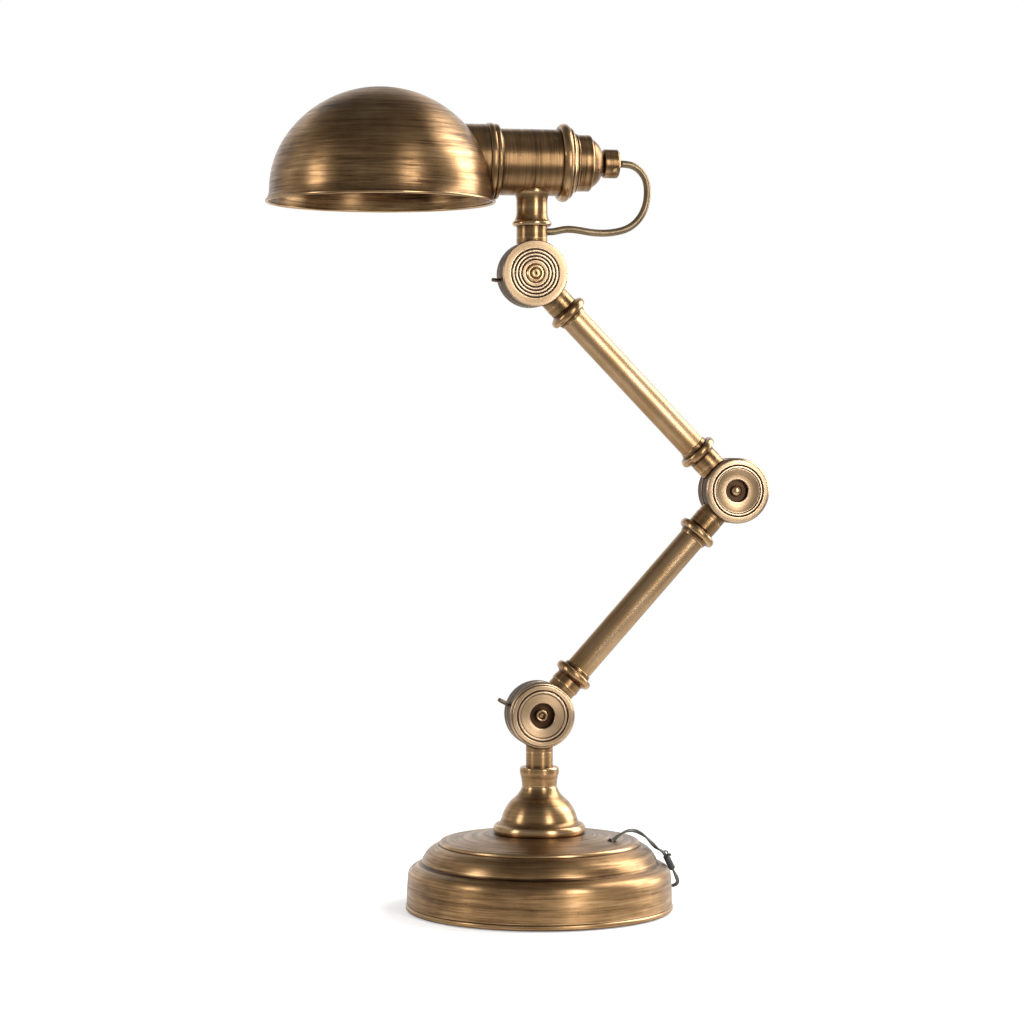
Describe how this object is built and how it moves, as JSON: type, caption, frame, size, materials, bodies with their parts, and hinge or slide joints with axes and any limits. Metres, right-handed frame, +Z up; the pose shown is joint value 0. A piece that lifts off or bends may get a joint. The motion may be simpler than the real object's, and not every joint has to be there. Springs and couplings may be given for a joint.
{
  "type": "dome shade desk lamp",
  "caption": "Brass desk lamp with a weighted round base, two arms on clamped knuckles, and a dome shade on a swivelling lampholder.",
  "frame": {"origin": "the middle of the base's underside, on the surface it stands on", "axes": "+Z up; +X from the base towards the elbow, in the plane of the arms; +Y away from the side that shows the bolt heads; the knuckles turn about Y"},
  "size_m": [0.3376, 0.2263, 0.5456],
  "materials": {
    "base_brass": "aged, brushed round",
    "bell_brass": "aged, brushed round",
    "post_brass": "aged, satin",
    "tube_brass": "aged, satin, long highlight",
    "ferrule_brass": "aged, darker, bright edges",
    "knuckle_brass": "aged, turned rings",
    "bolt_brass": "aged, dark recesses",
    "lever_brass": "dark aged",
    "holder_brass": "aged, brushed",
    "shade_brass": "aged, brushed round",
    "nut_brass": "aged",
    "plated_steel": "dull plated",
    "cast_weight": "sand cast, painted",
    "green_felt": "pressed felt",
    "cream_ceramic": "glazed",
    "socket_brass": "bright rolled",
    "bulb_cap_metal": "rolled thread",
    "frosted_glass": "frosted",
    "dark_cord": "satin, two cores side by side",
    "dark_binding": "waxed",
    "dark_plastic": "moulded",
    "loop_cord": "satin, brass coloured",
    "blade_brass": "bright"
  },
  "bodies": {
    "base": {"base_shell": "base_brass", "base_plate": "base_brass", "felt_pad": "green_felt", "base_weight": "cast_weight", "weight_screws": "plated_steel", "base_bell": "bell_brass", "base_collar": "bell_brass", "base_nipple": "plated_steel", "base_nut": "plated_steel", "cord_grommet": "dark_plastic", "base_lead": "dark_cord", "mains_cord": "dark_cord", "mains_cord_coil": "dark_cord", "mains_cord_tail": "dark_cord", "cord_tie": "dark_binding", "plug_body": "dark_plastic", "plug_blades": "blade_brass"},
    "post": {"post_tube": "post_brass", "post_knuckle": "knuckle_brass", "post_lead": "dark_cord", "lower_pivot_bolt": "bolt_brass", "lower_pivot_nut": "nut_brass"},
    "lower_lever": {"lower_clamp_lever": "lever_brass"},
    "lower_arm": {"lower_arm_bottom_knuckle": "knuckle_brass", "lower_arm_top_knuckle": "knuckle_brass", "lower_arm_bottom_ferrule": "ferrule_brass", "lower_arm_top_ferrule": "ferrule_brass", "lower_arm_tube": "tube_brass", "lower_arm_lead": "dark_cord", "elbow_friction_washer": "lever_brass", "elbow_pivot_bolt": "bolt_brass", "elbow_pivot_nut": "nut_brass"},
    "upper_arm": {"upper_arm_bottom_knuckle": "knuckle_brass", "upper_arm_top_knuckle": "knuckle_brass", "upper_arm_bottom_ferrule": "ferrule_brass", "upper_arm_top_ferrule": "ferrule_brass", "upper_arm_tube": "tube_brass", "upper_arm_lead": "dark_cord", "head_pivot_bolt": "bolt_brass", "head_pivot_nut": "nut_brass"},
    "head_lever": {"head_clamp_lever": "lever_brass"},
    "stem": {"head_knuckle": "knuckle_brass", "stem": "post_brass", "swivel_stud": "plated_steel", "swivel_nut": "plated_steel", "head_cord_loop": "loop_cord"},
    "head": {"lampholder_body": "holder_brass", "holder_ring": "holder_brass", "holder_cap": "holder_brass", "cord_grip_nut": "holder_brass", "grub_screw": "plated_steel", "cord_sleeve": "loop_cord", "socket_insulator": "cream_ceramic", "socket_shell": "socket_brass", "socket_contact": "socket_brass", "bulb_cap": "bulb_cap_metal", "bulb_glass": "frosted_glass", "shade_ring": "nut_brass"},
    "shade": {"shade": "shade_brass", "shade_collar": "holder_brass"}
  },
  "joints": [
    {"name": "post_swivel", "type": "hinge", "parent": "base", "child": "post", "pos_m": [0, 0, 0.0871], "axis": [0, 0, 1], "range_deg": [-160, 160]},
    {"name": "lower_hinge", "type": "hinge", "parent": "post", "child": "lower_arm", "pos_m": [0, 0, 0.1304], "axis": [0, -1, 0], "range_deg": [-40, 50]},
    {"name": "lower_lever_turn", "type": "hinge", "parent": "post", "child": "lower_lever", "pos_m": [0, 0, 0.1304], "axis": [0, -1, 0], "range_deg": [-12, 12]},
    {"name": "elbow_hinge", "type": "hinge", "parent": "lower_arm", "child": "upper_arm", "pos_m": [0.13331, 0, 0.27949], "axis": [0, -1, 0], "range_deg": [-60, 30]},
    {"name": "head_hinge", "type": "hinge", "parent": "upper_arm", "child": "stem", "pos_m": [-0.00512, 0, 0.42385], "axis": [0, -1, 0], "range_deg": [-50, 45]},
    {"name": "head_lever_turn", "type": "hinge", "parent": "upper_arm", "child": "head_lever", "pos_m": [-0.00512, 0, 0.42385], "axis": [0, -1, 0], "range_deg": [-12, 12]},
    {"name": "head_swivel", "type": "hinge", "parent": "stem", "child": "head", "pos_m": [-0.00512, 0, 0.465], "axis": [0, 0, 1], "range_deg": [-45, 45], "deforming": ["head_cord_loop"]},
    {"name": "shade_turn", "type": "hinge", "parent": "head", "child": "shade", "pos_m": [-0.036, 0, 0.498], "axis": [1, 0, 0], "range_deg": [-90, 90]}
  ]
}
